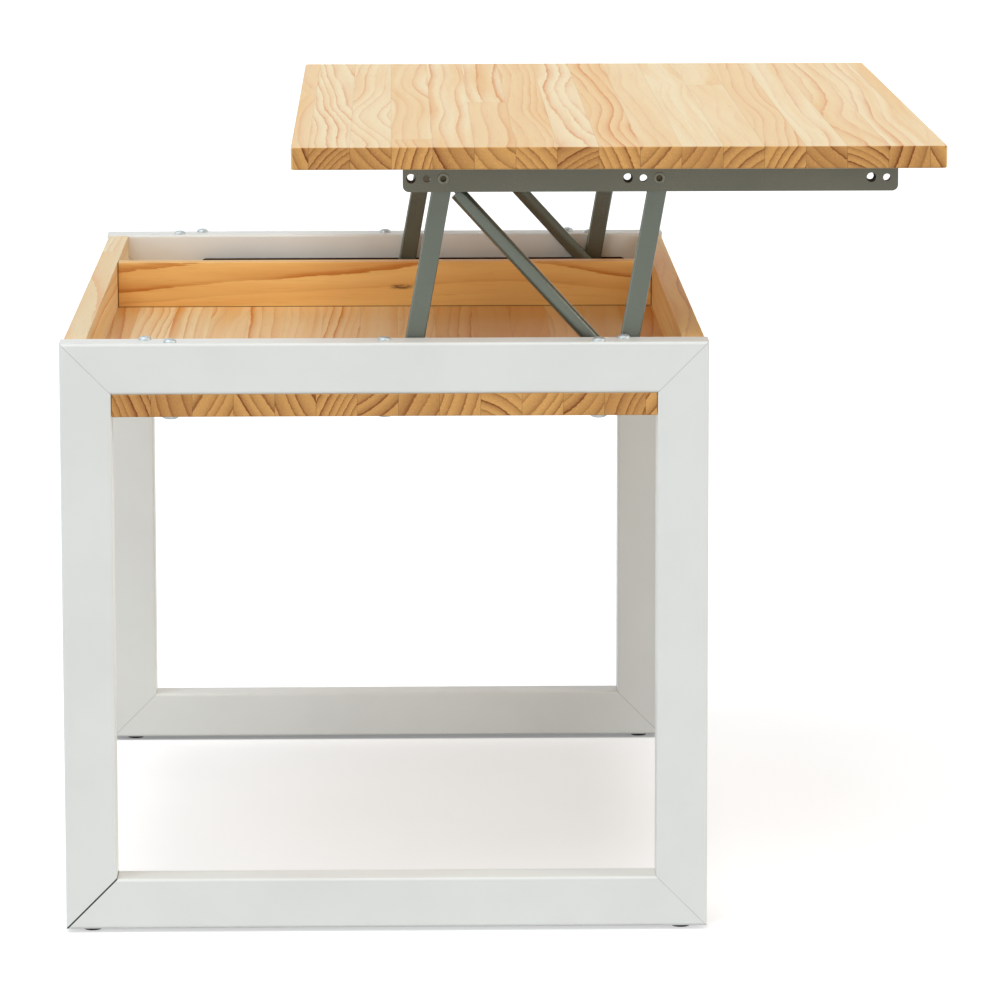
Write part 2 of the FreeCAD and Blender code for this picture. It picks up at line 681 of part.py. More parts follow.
pivots_x = (REAR_PIVOT_X, FRONT_PIVOT_X)
base_rivets = [(x, f"{out} * {RAIL_Y}", BASE_PIVOT_Z) for out in ENDS.values() for x in pivots_x]
top_rivets = [(f"{x} + {LIFT_RUN}", y, TOP_PIVOT_Z) for x, y, z in base_rivets]
nodes.append(group("base_pivot_rivets", rivet, base_rivets))
nodes.append(group("top_pivot_rivets", rivet, top_rivets))


def raised(spots, middle_x, height):
    """The plan spots, measured from the middle of the frame or the top, at a height."""
    return [(f"{middle_x} + {x}", y, height) for x, y in spots]


nodes.append(group("frame_bolts", bolt, raised(BOLT_PLACES, BASE_X, FRAME_TOP)))
under_floor = f"{FLOOR_TOP} - board_thick"
nodes.append(group("sleeve_nuts", sleeve_nut, raised(BOLT_PLACES, BASE_X, under_floor)))
under_rail = f"{TOP_UNDERSIDE} - rail_wall"
nodes.append(group("top_rail_screws", rail_screw, raised(TOP_SCREWS, TOP_X, under_rail)))
rail_screw.Placement.Rotation = FreeCAD.Rotation(FreeCAD.Vector(1, 0, 0), 180)
over_rail = f"{FLOOR_TOP} + rail_wall"
nodes.append(group("base_rail_screws", rail_screw, raised(BASE_SCREWS, BASE_X, over_rail)))
tray_places = raised(SIDE_SCREWS + DIVIDER_SCREWS, BASE_X, under_floor)
nodes.append(group("tray_screws", tray_screw, tray_places))
glide_spots = [(f"{sign}{GLIDE_X}", f"{out} * {FRAME_Y}") for out in ENDS.values() for sign in ("", "-")]
nodes.append(group("floor_glides", glide, raised(glide_spots, BASE_X, "0")))


# Nothing is written unless every object is sound and every node is a set of valid solids.
doc.recompute()
for thing in doc.Objects:
    if "Invalid" in thing.State or "Error" in thing.State:
        raise RuntimeError(f"{thing.Label} failed: {thing.State}")
for node in nodes:
    if node.Shape.isNull() or not node.Shape.isValid() or not node.Shape.Solids:
        raise RuntimeError(f"{node.Label} has no valid solid")
os.makedirs("parts", exist_ok=True)
for node in nodes:
    node.Shape.exportStep(os.path.join("parts", node.Label + ".step"))
    print(node.Label, len(node.Shape.Solids), "solids", round(node.Shape.Volume), "mm3")
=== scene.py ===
import math

import bmesh
import bpy
import numpy as np
from mathutils import Matrix, Vector


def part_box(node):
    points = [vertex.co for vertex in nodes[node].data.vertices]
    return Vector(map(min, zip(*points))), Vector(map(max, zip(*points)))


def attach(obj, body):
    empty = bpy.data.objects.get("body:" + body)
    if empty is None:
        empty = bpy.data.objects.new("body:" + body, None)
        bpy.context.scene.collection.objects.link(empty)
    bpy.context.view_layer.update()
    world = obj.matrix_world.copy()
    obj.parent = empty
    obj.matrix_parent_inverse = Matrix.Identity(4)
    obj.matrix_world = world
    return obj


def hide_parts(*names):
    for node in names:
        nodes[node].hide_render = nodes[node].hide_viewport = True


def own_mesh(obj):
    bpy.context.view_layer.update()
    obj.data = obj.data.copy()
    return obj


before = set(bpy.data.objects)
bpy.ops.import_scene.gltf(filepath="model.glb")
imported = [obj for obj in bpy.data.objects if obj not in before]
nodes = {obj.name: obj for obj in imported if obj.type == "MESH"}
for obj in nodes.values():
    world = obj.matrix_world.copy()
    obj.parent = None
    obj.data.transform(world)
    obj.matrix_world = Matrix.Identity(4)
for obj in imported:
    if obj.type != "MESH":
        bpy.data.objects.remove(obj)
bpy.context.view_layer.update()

# Lift-top table: white tube frames, a pine tray and top, and grey sprung linkages.
# Metres in the row frame: +X is the sitter's side, +Y runs along the table, +Z is up.
# Finishes and fasteners are laid out in millimetres.
MM = 0.001
ENDS = ("near", "far")
FRAME_TUBES = ("frame_top_rail", "frame_foot_rail", "frame_rear_leg", "frame_front_leg")
RAILS = ("base_rail", "top_rail")
LINKS = ("rear_link", "front_link")
TUBE_WIDTH = 50.0
STAVE_WIDTH = 40.0
WHOLE_BOARD = 500.0
GREY_GLOSS = 0.72
GREY_METALLIC = 0.55
GREY_PEEL = 0.008


def middle(*names):
    """The middle of the box round these nodes, and half its size."""
    boxes = [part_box(name) for name in names]
    low = Vector([min(box[0][i] for box in boxes) for i in range(3)])
    high = Vector([max(box[1][i] for box in boxes) for i in range(3)])
    return (low + high) / 2, (high - low) / 2


def each_end(*pieces):
    """The names of these pieces at the near end, and then at the far end."""
    return [f"{end}_{piece}" for end in ENDS for piece in pieces]


class Number:
    """A number that flows through a node tree, so that formulas read plainly."""

    def __init__(self, wiring, socket):
        self.wiring = wiring
        self.socket = socket

    def __add__(self, other):
        return self.wiring.math("ADD", self, other)

    def __sub__(self, other):
        return self.wiring.math("SUBTRACT", self, other)

    def __rsub__(self, other):
        return self.wiring.math("SUBTRACT", other, self)

    def __mul__(self, other):
        return self.wiring.math("MULTIPLY", self, other)

    def __truediv__(self, other):
        return self.wiring.math("DIVIDE", self, other)

    def __lt__(self, other):
        return self.wiring.math("LESS_THAN", self, other)

    __radd__ = __add__
    __rmul__ = __mul__

    def floor(self):
        return self.wiring.math("FLOOR", self)

    def size(self):
        return self.wiring.math("ABSOLUTE", self)

    def power(self, other):
        return self.wiring.math("POWER", self, other)

    def root(self):
        return self.wiring.math("SQRT", self)

    def step(self, low, high):
        """0 below low, 1 above high and smooth between, or falling if low is the larger."""
        node = self.wiring.add("ShaderNodeMapRange", interpolation_type="SMOOTHSTEP")
        for name, term in (("Value", self), ("From Min", low), ("From Max", high)):
            self.wiring.feed(node.inputs[name], term)
        return Number(self.wiring, node.outputs[0])


class Wiring:
    """Places nodes in one node tree and links them."""

    def __init__(self, tree):
        self.tree = tree

    def add(self, kind, **settings):
        node = self.tree.nodes.new(kind)
        for name, setting in settings.items():
            setattr(node, name, setting)
        return node

    def feed(self, socket, source):
        """Links a socket to a flowing value, or sets it to a plain one."""
        source = getattr(source, "socket", source)
        if isinstance(source, bpy.types.NodeSocket):
            self.tree.links.new(source, socket)
        else:
            socket.default_value = source

    def math(self, operation, *terms):
        node = self.add("ShaderNodeMath", operation=operation)
        for socket, term in zip(node.inputs, terms):
            self.feed(socket, term)
        return Number(self, node.outputs[0])

    def split(self, vector):
        node = self.add("ShaderNodeSeparateXYZ")
        self.feed(node.inputs[0], vector)
        return [Number(self, socket) for socket in node.outputs]

    def join(self, x, y, z):
        node = self.add("ShaderNodeCombineXYZ")
        for socket, term in zip(node.inputs, (x, y, z)):
            self.feed(socket, term)
        return node.outputs[0]

    def dice(self, x, y, z):
        """Three random numbers from 0 to 1 that belong to these three."""
        node = self.add("ShaderNodeTexWhiteNoise", noise_dimensions="3D")
        self.feed(node.inputs["Vector"], self.join(x, y, z))
        return self.split(node.outputs["Color"])

    def clouds(self, vector, detail=2.0, roughness=0.5):
        """Smooth noise about a unit across: a value and three more values."""
        node = self.add("ShaderNodeTexNoise", noise_dimensions="3D")
        self.feed(node.inputs["Vector"], vector)
        for name, number in (("Scale", 1.0), ("Detail", detail), ("Roughness", roughness)):
            node.inputs[name].default_value = number
        return Number(self, node.outputs[0]), self.split(node.outputs[1])

    def stretched(self, vector, x, y, z):
        """The vector measured in these lengths along its three axes."""
        node = self.add("ShaderNodeVectorMath", operation="DIVIDE")
        self.feed(node.inputs[0], vector)
        node.inputs[1].default_value = (x, y, z)
        return node.outputs[0]

    def blend(self, share, first, second, kind="MIX"):
        node = self.add("ShaderNodeMix", data_type="RGBA", blend_type=kind)
        sockets = {socket.identifier: socket for socket in node.inputs}
        self.feed(sockets["Factor_Float"], share)
        self.feed(sockets["A_Color"], first)
        self.feed(sockets["B_Color"], second)
        return next(s for s in node.outputs if s.identifier == "Result_Color")

    def shade(self, colour, amount):
        """The colour times a grey amount."""
        node = self.add("ShaderNodeVectorMath", operation="SCALE")
        self.feed(node.inputs[0], colour)
        self.feed(node.inputs["Scale"], amount)
        return node.outputs[0]


KINDS = {"number": "NodeSocketFloat", "vector": "NodeSocketVector", "colour": "NodeSocketColor"}


def new_group(name, inputs, outputs):
    """An empty shader group with named sockets, and its wiring."""
    tree = bpy.data.node_groups.new(name, "ShaderNodeTree")
    for label, kind in inputs.items():
        tree.interface.new_socket(label, in_out="INPUT", socket_type=KINDS[kind])
    for label, kind in outputs.items():
        tree.interface.new_socket(label, in_out="OUTPUT", socket_type=KINDS[kind])
    wiring = Wiring(tree)
    wiring.entry = wiring.add("NodeGroupInput").outputs
    wiring.exit = wiring.add("NodeGroupOutput").inputs
    return wiring


def number_in(wiring, label):
    return Number(wiring, wiring.entry[label])


def srgb(red, green, blue):
    """A colour from its three display levels of 0 to 255."""
    levels = [level / 255 for level in (red, green, blue)]
    linear = [v / 12.92 if v <= 0.04045 else ((v + 0.055) / 1.055) ** 2.4 for v in levels]
    return (*linear, 1.0)


def pine_growth():
    """Glued pine cut from many trees. Position is in millimetres, with the grain along Y.
    Each stave has its own pith, so that faces, edges and ends show the same rings."""
    inputs = {
        "Position": "vector", "End": "number", "Stave Width": "number", "Joint Length": "number",
        "Ring Gap": "number", "Wander": "number", "Cut": "number", "Seed": "number",
        "Early": "colour", "Warm": "colour", "Late": "colour",
        "End Early": "colour", "End Late": "colour",
    }
    outputs = {"Colour": "colour", "Roughness": "number", "Height": "number"}
    w = new_group("pine growth", inputs, outputs)
    position = w.entry["Position"]
    x, y, z = w.split(position)
    end = number_in(w, "End")
    width = number_in(w, "Stave Width")
    seed = number_in(w, "Seed")
    wander = number_in(w, "Wander")

    # Staves lie side by side, and each is jointed end to end from blocks with toothed ends.
    stave = (x / width).floor()
    across = x - (stave + 0.5) * width
    first = w.dice(stave, seed, 3.7)
    length = number_in(w, "Joint Length") * (0.7 + 0.6 * first[1])
    tooth_pitch, tooth_depth = 8.0, 14.0
    tooth = across / tooth_pitch
    tooth = (tooth - tooth.floor() - 0.5).size()
    place = (y + 2000.0 + 1500.0 * first[0] + tooth_depth * tooth * (1.0 - end)) / length
    block = place.floor()
    second = w.dice(stave, block, seed)
    third = w.dice(stave + 31.7, block, seed)

    # The pith of a block runs slightly askew and sways, and in some it bends sharply past a branch.
    turn = (0.3 + 0.75 * second[0]) * (1.0 - 2.0 * (third[2] < 0.5)) + number_in(w, "Cut")
    hand = 1.0 - 2.0 * (first[2] < 0.5)
    reach = 70.0 + 110.0 * second[1]
    sway = w.clouds(w.join(stave * 5.3 + block * 2.7, y / 380.0, seed), 0.0)[1]
    bend = w.clouds(w.join(stave * 7.1 + block * 3.9, y / 620.0, seed + 4.0), 0.0)[0]
    kink = (bend - 0.5).size() * (10.0 + 60.0 * (third[1] < 0.35))
    pith_x = w.math("COSINE", turn) * reach * hand + (third[0] - 0.5) * 0.05 * y
    pith_z = w.math("SINE", turn) * reach + (third[1] - 0.5) * 0.07 * y
    pith_x = pith_x + (sway[0] - 0.5) * wander
    pith_z = pith_z + (sway[1] - 0.5) * wander
    side = across - pith_x + kink
    deep = z - pith_z + kink * 0.8
    ripple = w.clouds(w.stretched(position, 60.0, 240.0, 60.0), 1.0, 0.5)[0]
    ragged = w.clouds(w.stretched(position, 4.0, 50.0, 4.0), 3.0, 0.65)[0]
    radius = (side * side + deep * deep).root() + (ripple - 0.5) * 5.0 + (ragged - 0.5) * 2.8
    uneven = w.clouds(w.join(radius / 24.0, stave * 3.1 + block * 7.3, seed), 1.0)[0]
    ring_gap = number_in(w, "Ring Gap") * (0.7 + 0.8 * third[2])
    rings = (radius + (uneven - 0.5) * 16.0) / ring_gap + 40.0
    year = rings.floor()
    season = rings - year

    # Lean spells of years leave faint lines on the faces, and lines fade in and out along the grain.
    vigour = 0.35 + 0.65 * w.dice(year, stave, block)[0]
    line = 0.45 * season.step(0.2, 0.95) + 0.55 * season.step(0.72, 0.95)
    late = line * season.step(1.0, 0.96) * vigour
    spell = w.clouds(w.join(rings / 5.0, stave * 1.7 + block * 4.1, seed + 2.3), 1.0)[0]
    spell = spell.step(0.36, 0.62)
    fade = w.clouds(w.stretched(position, 22.0, 300.0, 22.0), 1.0)[0].step(0.3, 0.6)
    clear = w.dice(stave + 57.1, block, seed)[0]
    shown = late * (0.25 + 0.75 * spell) * (0.45 + 0.55 * fade) * (1.3 - 0.95 * clear)
    band = w.clouds(w.join(radius / 17.0, stave * 2.3 + block * 5.9, y / 900.0 + seed), 1.0)[0]
    band = band.step(0.46, 0.72)

    # Fibres, pores and glue lines, and then the colours of faces and of cut ends.
    fibre = w.clouds(w.stretched(position, 0.9, 60.0, 0.9), 2.0, 0.6)[0]
    streak = w.clouds(w.stretched(position, 13.0, 600.0, 13.0), 2.0, 0.5)[0]
    speck = w.clouds(w.stretched(position, 1.3, 4.0, 1.3), 2.0, 0.6)[0]
    gap = (0.5 * width - across.size()).step(0.45, 0.1)
    part = place - block
    butt = (part * length).step(0.9, 0.3) + ((1.0 - part) * length).step(0.9, 0.3)

    pale = w.blend(second[2] * second[2] * 0.8, w.entry["Early"], w.entry["Warm"])
    pale = w.blend(streak.step(0.42, 0.75) * 0.3 + band * 0.6, pale, w.entry["Warm"])
    fleck = w.clouds(w.stretched(position, 1.7, 50.0, 1.7), 2.0, 0.6)[0].step(0.58, 0.72)
    face = w.blend(shown * 1.15 + fleck * 0.16, pale, w.entry["Late"])
    face = w.shade(face, 0.94 + 0.12 * fibre)
    core = w.blend((1.0 - second[2]) * 0.3, w.entry["End Early"], w.entry["End Late"])
    cut = w.blend(late * 0.8 + late.root() * 0.2, core, w.entry["End Late"])
    cut = w.shade(cut, 0.86 + 0.4 * speck + 0.22 * speck.step(0.62, 0.75))
    colour = w.blend(end, face, cut)
    colour = w.shade(colour, (1.0 - gap * (0.14 + 0.2 * end)) * (1.0 - butt * (1.0 - end) * 0.22))
    w.feed(w.exit["Colour"], colour)
    w.feed(w.exit["Roughness"], 0.5 - 0.07 * late + 0.1 * (fibre - 0.5) + 0.14 * end)
    w.feed(w.exit["Height"], 0.2 * shown + 0.35 * fibre + 0.5 * end * speck - gap - butt * 0.5)
    return w.tree


def resin_streak():
    """A short dark resin streak in a face, broken along the grain. Position is in millimetres."""
    inputs = {
        "Position": "vector", "Along": "number", "Up": "number", "Colour": "colour", "Resin": "colour",
    }
    w = new_group("resin streak", inputs, {"Colour": "colour"})
    y, z = w.split(w.entry["Position"])[1:]
    half_length, half_height = 17.0, 3.8
    along = (y - number_in(w, "Along")) / half_length
    up = (z - number_in(w, "Up")) / half_height
    near = (along * along + up * up).root().step(1.0, 0.25)
    threads = w.clouds(w.stretched(w.entry["Position"], 4.0, 16.0, 1.5), 2.0, 0.6)[0]
    threads = threads.step(0.36, 0.54)
    w.feed(w.exit["Colour"], w.blend(near * threads * 0.9, w.entry["Colour"], w.entry["Resin"]))
    return w.tree


def paint_skin():
    """Sprayed paint: a faint orange peel and slow changes of tone. Position is in millimetres."""
    inputs = {"Position": "vector", "Paint": "colour", "Shade": "colour", "Gloss": "number"}
    outputs = {"Colour": "colour", "Roughness": "number", "Height": "number"}
    w = new_group("paint skin", inputs, outputs)
    position = w.entry["Position"]
    slow = w.clouds(w.stretched(position, 90.0, 90.0, 90.0), 3.0, 0.6)[0]
    peel = w.clouds(w.stretched(position, 1.5, 1.5, 1.5), 1.0, 0.5)[0]
    dust = w.clouds(w.stretched(position, 0.5, 0.5, 0.5), 0.0, 0.5)[0]
    w.feed(w.exit["Colour"], w.blend(slow.step(0.3, 0.75), w.entry["Paint"], w.entry["Shade"]))
    uneven = 0.16 * (slow - 0.5) + 0.08 * (dust - 0.5)
    w.feed(w.exit["Roughness"], 1.0 - number_in(w, "Gloss") + uneven)
    w.feed(w.exit["Height"], peel * 0.8 + dust * 0.2)
    return w.tree


def bare_metal():
    """Plated or drawn metal: cloudy plating and fine scratches. Position is in millimetres."""
    inputs = {"Position": "vector", "Metal": "colour", "Stain": "colour", "Gloss": "number"}
    outputs = {"Colour": "colour", "Roughness": "number", "Height": "number"}
    w = new_group("bare metal", inputs, outputs)
    position = w.entry["Position"]
    cloud = w.clouds(w.stretched(position, 4.0, 4.0, 4.0), 3.0, 0.6)[0]
    hair = w.clouds(w.stretched(position, 0.25, 2.5, 0.25), 2.0, 0.6)[0]
    w.feed(w.exit["Colour"], w.blend(cloud.step(0.35, 0.75), w.entry["Metal"], w.entry["Stain"]))
    uneven = 0.2 * (cloud - 0.5) + 0.12 * (hair - 0.5)
    w.feed(w.exit["Roughness"], 1.0 - number_in(w, "Gloss") + uneven)
    w.feed(w.exit["Height"], hair * 0.6 + cloud * 0.4)
    return w.tree


def mitre_seam():
    """The joint lines at the corners of a frame. Position is in millimetres from its middle."""
    inputs = {
        "Position": "vector", "Half Width": "number", "Half Height": "number", "Line": "number",
    }
    w = new_group("mitre seam", inputs, {"Seam": "number", "Gap": "number"})
    x, y, z = w.split(w.entry["Position"])
    from_side = number_in(w, "Half Width") - x.size()
    from_top = number_in(w, "Half Height") - z.size()
    off = (from_side - from_top).size() * math.sqrt(0.5)
    line = number_in(w, "Line")
    corner = from_side.step(TUBE_WIDTH + 1.0, TUBE_WIDTH)
    seam = off.step(line, line * 0.3) * corner
    gapped = (x < 0.0) * (y < 0.0) * (z < 0.0)
    broken = w.clouds(w.stretched(w.entry["Position"], 30.0, 30.0, 30.0), 2.0, 0.6)[0]
    w.feed(w.exit["Seam"], seam * (0.25 + 0.5 * broken) * (1.0 - gapped))
    w.feed(w.exit["Gap"], off.step(line * 1.9, line * 1.3) * corner * gapped)
    return w.tree


GROWTH = pine_growth()
RESIN = resin_streak()
PAINT = paint_skin()
METAL = bare_metal()
MITRE = mitre_seam()
SHADER_SOCKETS = {"specular": "Specular IOR Level", "metallic": "Metallic"}


class Finish:
    """One material: a Principled shader fed by the shared groups."""

    def __init__(self, name, centre=(0, 0, 0), turn=0.0, **sockets):
        self.material = bpy.data.materials.new(name)
        self.material.use_nodes = True
        self.wiring = Wiring(self.material.node_tree)
        self.shader = self.material.node_tree.nodes["Principled BSDF"]
        for label, setting in sockets.items():
            self.shader.inputs[SHADER_SOCKETS[label]].default_value = setting
        self.place = self.wiring.add("ShaderNodeTexCoord")
        mapping = self.wiring.add("ShaderNodeMapping", vector_type="POINT")
        scale = 1 / MM
        offset = Matrix.Rotation(turn, 3, "Z") @ (Vector(centre) * -scale)
        self.wiring.feed(mapping.inputs["Vector"], self.place.outputs["Object"])
        mapping.inputs["Scale"].default_value = (scale, scale, scale)
        mapping.inputs["Rotation"].default_value = (0, 0, turn)
        mapping.inputs["Location"].default_value = offset
        self.position = mapping.outputs[0]

    def group(self, tree, **values):
        node = self.wiring.add("ShaderNodeGroup", node_tree=tree)
        self.wiring.feed(node.inputs["Position"], self.position)
        for label, setting in values.items():
            self.wiring.feed(node.inputs[label.replace("_", " ").title()], setting)
        return node

    def wear(self, colour, roughness, height, depth):
        """Feeds the shader, with the height as a bump this many metres deep."""
        self.wiring.feed(self.shader.inputs["Base Color"], colour)
        self.wiring.feed(self.shader.inputs["Roughness"], roughness)
        bump = self.wiring.add("ShaderNodeBump")
        bump.inputs["Strength"].default_value = 1.0
        bump.inputs["Distance"].default_value = depth
        self.wiring.feed(bump.inputs["Height"], height)
        self.wiring.feed(self.shader.inputs["Normal"], bump.outputs[0])
        return self.material


def pine(name, centre, turn=0.0, stave=STAVE_WIDTH, joint=4000.0, ring=9.0, wander=24.0, seed=1.0,
         cut=0.0, warmth=0.0, streak=None, gap_shade=None):
    """Lacquered pine with its grain along Y, or along X with a quarter turn. A streak is a place
    along and up the face, and a gap shade is half the length and height of a board whose foot and ends
    get painted shade where it meets the boards round it."""
    finish = Finish(name, centre, turn, specular=0.3)
    w = finish.wiring
    facing = w.split(finish.place.outputs["Normal"])[0 if turn else 1].size()

    def tone(pale, orange):
        return tuple(a + (b - a) * warmth for a, b in zip(srgb(*pale), srgb(*orange)))

    growth = finish.group(
        GROWTH, end=facing.step(0.55, 0.8), stave_width=stave, joint_length=joint,
        ring_gap=ring, wander=wander, cut=cut, seed=seed,
        early=tone((244, 223, 181), (245, 203, 128)),
        warm=tone((235, 190, 124), (232, 168, 88)),
        late=tone((216, 132, 28), (190, 108, 28)),
        end_early=srgb(214, 161, 94), end_late=srgb(118, 52, 6),
    )
    colour = growth.outputs["Colour"]
    if streak:
        along, up = streak
        knot = finish.group(RESIN, along=along, up=up, colour=colour, resin=srgb(92, 50, 20))
        colour = knot.outputs["Colour"]
    if gap_shade:
        half_length, half_height = gap_shade
        y, z = w.split(finish.position)[1:]
        # Painted shade: dark lines along the board's foot and ends, where shade falls between it and
        # the boards it meets.
        foot = (z + half_height).step(1.2, 0.6)
        stop = (half_length - y.size()).step(1.3, 0.7)
        colour = w.blend(w.math("MAXIMUM", foot, stop) * 0.75, colour, srgb(62, 36, 14))
    return finish.wear(colour, growth.outputs["Roughness"], growth.outputs["Height"], 0.08 * MM)


def painted(name, paint, shade, gloss, depth, **sockets):
    """Plain sprayed paint."""
    finish = Finish(name, **sockets)
    skin = finish.group(PAINT, paint=paint, shade=shade, gloss=gloss).outputs
    return finish.wear(skin["Colour"], skin["Roughness"], skin["Height"], depth)


def metal(name, colour, stain, gloss, metallic=1.0):
    """Plain plated or drawn metal."""
    finish = Finish(name, metallic=metallic)
    skin = finish.group(METAL, metal=colour, stain=stain, gloss=gloss).outputs
    return finish.wear(skin["Colour"], skin["Roughness"], skin["Height"], 0.01 * MM)


def white_powder_coat():
    """White satin powder coat, with the mitre lines of the frames' corners."""
    centre, half = middle(*each_end(*FRAME_TUBES))
    finish = Finish("white_powder_coat", centre)
    w = finish.wiring
    skin = finish.group(PAINT, paint=srgb(232, 234, 231), shade=srgb(229, 230, 227), gloss=0.58)
    seam = finish.group(MITRE, half_width=half.x / MM, half_height=half.z / MM, line=0.5)
    colour = w.blend(seam.outputs["Seam"], skin.outputs["Colour"], srgb(150, 152, 150))
    colour = w.blend(seam.outputs["Gap"], colour, srgb(38, 40, 42))
    dip = Number(w, skin.outputs["Height"]) - 6.0 * Number(w, seam.outputs["Seam"])
    return finish.wear(colour, skin.outputs["Roughness"], dip, 0.02 * MM)


rail_middle, rail_half = middle("near_top_rail")
RAIL_HALF_WIDTH = rail_half.y / MM


def off_rail_middle(finish):
    """How far a point lies to either side of the upright plane along the middle of its rails."""
    return (finish.wiring.split(finish.position)[1].size() - abs(rail_middle.y) / MM).size()


def rail_grey():
    """Grey paint on the channels, with painted shade inside them: darker and browner there, and
    duller.
    """
    finish = Finish("rail_grey", metallic=GREY_METALLIC)
    w = finish.wiring
    skin = finish.group(PAINT, paint=srgb(105, 103, 89), shade=srgb(100, 99, 87), gloss=GREY_GLOSS)
    # Painted shade: the channels' inner faces are made darker and browner.
    inside = off_rail_middle(finish).step(RAIL_HALF_WIDTH - 0.3, RAIL_HALF_WIDTH - 1.7)
    colour = w.blend(inside, skin.outputs["Colour"], srgb(64, 50, 38))
    roughness = Number(w, skin.outputs["Roughness"]) + 0.3 * inside
    return finish.wear(colour, roughness, skin.outputs["Height"], GREY_PEEL * MM)


def long_axis(name):
    """A leaning bar's middle, the way across it and half its width, as seen from the table's end."""
    points = [vertex.co for vertex in nodes[name].data.vertices]
    centre = sum(points, Vector()) / len(points)
    spread_x = sum((point.x - centre.x) ** 2 for point in points)
    spread_z = sum((point.z - centre.z) ** 2 for point in points)
    shared = sum((point.x - centre.x) * (point.z - centre.z) for point in points)
    slope = math.atan2(2 * shared, spread_x - spread_z) / 2
    across = Vector((-math.sin(slope), 0, math.cos(slope)))
    offs = [across.dot(point - centre) for point in points]
    return centre + across * (max(offs) + min(offs)) / 2, across, (max(offs) - min(offs)) / 2


def sleeve_grey():
    """The links' paint on the strut sleeves, whose pressed faces are crowned across."""
    finish = Finish("sleeve_grey", metallic=GREY_METALLIC)
    w = finish.wiring
    skin = finish.group(PAINT, paint=LINK_PAINT, shade=LINK_SHADE, gloss=GREY_GLOSS)
    centre, across, half_width = long_axis("near_strut_sleeve")
    x, _, z = w.split(finish.position)
    off = (x - centre.x / MM) * across.x + (z - centre.z / MM) * across.z
    off = off / (half_width / MM)
    crown = 1.6
    height = Number(w, skin.outputs["Height"]) * GREY_PEEL - crown * off * off
    return finish.wear(skin.outputs["Colour"], skin.outputs["Roughness"], height, MM)


def rivet_steel():
    """Painted rivets whose drilled ends are darker and browner inside, as painted shade."""
    finish = Finish("rivet_steel", metallic=0.6)
    w = finish.wiring
    skin = finish.group(METAL, metal=srgb(124, 124, 110), stain=srgb(104, 104, 93), gloss=0.6)
    # Painted shade in the drilled ends of the rivets.
    bore_shade = off_rail_middle(finish).step(RAIL_HALF_WIDTH - 0.4, RAIL_HALF_WIDTH - 3.5)
    colour = w.blend(bore_shade, skin.outputs["Colour"], srgb(92, 82, 58))
    return finish.wear(colour, skin.outputs["Roughness"], skin.outputs["Height"], 0.01 * MM)


def dress(material, *names):
    """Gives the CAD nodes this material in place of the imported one."""
    for name in names:
        mesh = nodes[name].data
        mesh.materials.clear()
        mesh.materials.append(material)


dress(white_powder_coat(), *each_end(*FRAME_TUBES))
top_place = middle("table_top")[0] - Vector((STAVE_WIDTH * MM / 2, 0, 0))
dress(pine("pine_top", top_place, seed=4.0), "table_top")
floor_place = middle("tray_floor")[0] + Vector((13.4 * MM, 0, 0))
dress(pine("pine_tray_floor", floor_place, seed=17.0, warmth=0.35), "tray_floor")
# The rear board is paler and the front board more orange than the other pine, partly as painted light:
# paleness for light the rear board's shaded inner face lacks, orange for warm light bounced onto the
# front board's inner face.
for side, seed, warmth, ring in (("rear", 2.0, -0.45, 8.0), ("front", 6.0, 0.8, 6.0)):
    board = f"{side}_side_board"
    place = middle(board)[0] - Vector((WHOLE_BOARD / 2 * MM, 0, 0))
    look = pine(f"pine_{side}_side", place, stave=WHOLE_BOARD, joint=3000.0, ring=ring, seed=seed,
                cut=0.15, warmth=warmth)
    dress(look, board)
divider_middle, divider_half = middle("tray_divider")
divider_place = divider_middle + Vector((0, WHOLE_BOARD / 2 * MM, 0))
dress(pine("pine_divider", divider_place, math.pi / 2, stave=WHOLE_BOARD, joint=3000.0, ring=6.0,
           wander=50.0, seed=5.0, cut=-0.25, warmth=1.0, streak=(18.0, -3.0),
           gap_shade=(divider_half.x / MM, divider_half.z / MM)), "tray_divider")

LINK_PAINT = srgb(108, 113, 103)
LINK_SHADE = srgb(102, 107, 97)
LINK_GREY = painted("link_grey", LINK_PAINT, LINK_SHADE, GREY_GLOSS, GREY_PEEL * MM,
                    metallic=GREY_METALLIC)
dress(rail_grey(), *each_end(*RAILS))
dress(LINK_GREY, *each_end(*LINKS))
dress(sleeve_grey(), *each_end("strut_sleeve"))
dress(rivet_steel(), "base_pivot_rivets", "top_pivot_rivets")
ZINC = metal("zinc_plate", srgb(196, 204, 206), srgb(172, 181, 185), 0.45, metallic=0.85)
ROD = metal("bright_rod", srgb(142, 143, 140), srgb(112, 113, 110), 0.7)
dress(ROD, *each_end("strut_rod"))
SPRING = metal("spring_steel", srgb(132, 130, 126), srgb(92, 88, 84), 0.6)
BLACK = painted("black_glide", srgb(30, 30, 31), srgb(42, 42, 43), 0.5, 0.02 * MM)
dress(BLACK, "floor_glides")


# Fasteners: each kind is turned once and set wherever the frame has one.
SIDES = 48


def hexagon(flats):
    """The outline of a hexagon socket, as a radius for each angle."""
    return lambda angle: flats / 2 / math.cos((angle + math.pi / 6) % (math.pi / 3) - math.pi / 6)


def cross(arm, half_width):
    """The outline of a cross recess, as a radius for each angle."""
    def outline(angle):
        off = (angle + math.pi / 4) % (math.pi / 2) - math.pi / 4
        return min(arm / math.cos(off), half_width / max(abs(math.sin(off)), 1e-6))
    return outline


def dome(radius, height, rim, start):
    """Rings of a low domed head, from the radius start out to the rim and down to the seat."""
    fullness = 2.3
    rings = []
    for step in range(9):
        reach = start + (radius - start) * math.sin(math.pi / 2 * step / 8)
        crown = (1 - (reach / radius) ** fullness) ** (1 / fullness) if step < 8 else 0.0
        rings.append((reach, rim + (height - rim) * crown))
    return rings + [(radius, 0.0)]


